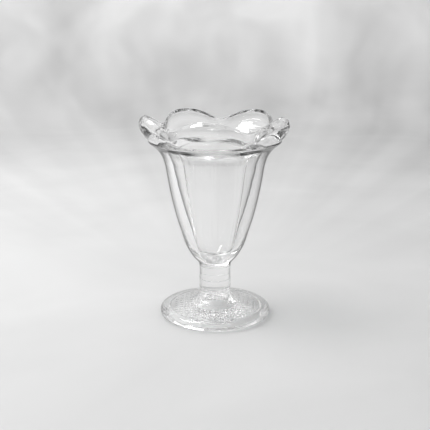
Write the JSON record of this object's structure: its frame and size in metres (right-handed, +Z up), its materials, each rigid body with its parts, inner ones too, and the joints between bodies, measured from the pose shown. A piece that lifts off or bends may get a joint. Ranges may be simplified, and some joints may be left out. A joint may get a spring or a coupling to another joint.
{
  "type": "footed parfait glass",
  "caption": "Footed dessert glass with a deep fluted tulip bowl, a ledge under a flared scalloped collar, a short solid stem and a broad round foot.",
  "frame": {"origin": "centre of the flat ring under the foot, on the surface the glass stands on", "axes": "+Z up along the glass's axis; -Y towards the viewer in the picture; +X to the viewer's right"},
  "size_m": [0.0974, 0.0959, 0.1377],
  "materials": {
    "collar_glass": "clear fire-polished pressed glass",
    "bowl_glass": "clear fire-polished pressed glass",
    "stem_glass": "clear fire-polished pressed glass",
    "foot_glass": "clear pressed glass, with a fine dotted texture underneath"
  },
  "bodies": {
    "root": {"collar": "collar_glass", "bowl": "bowl_glass", "stem": "stem_glass", "foot": "foot_glass"}
  },
  "joints": []
}
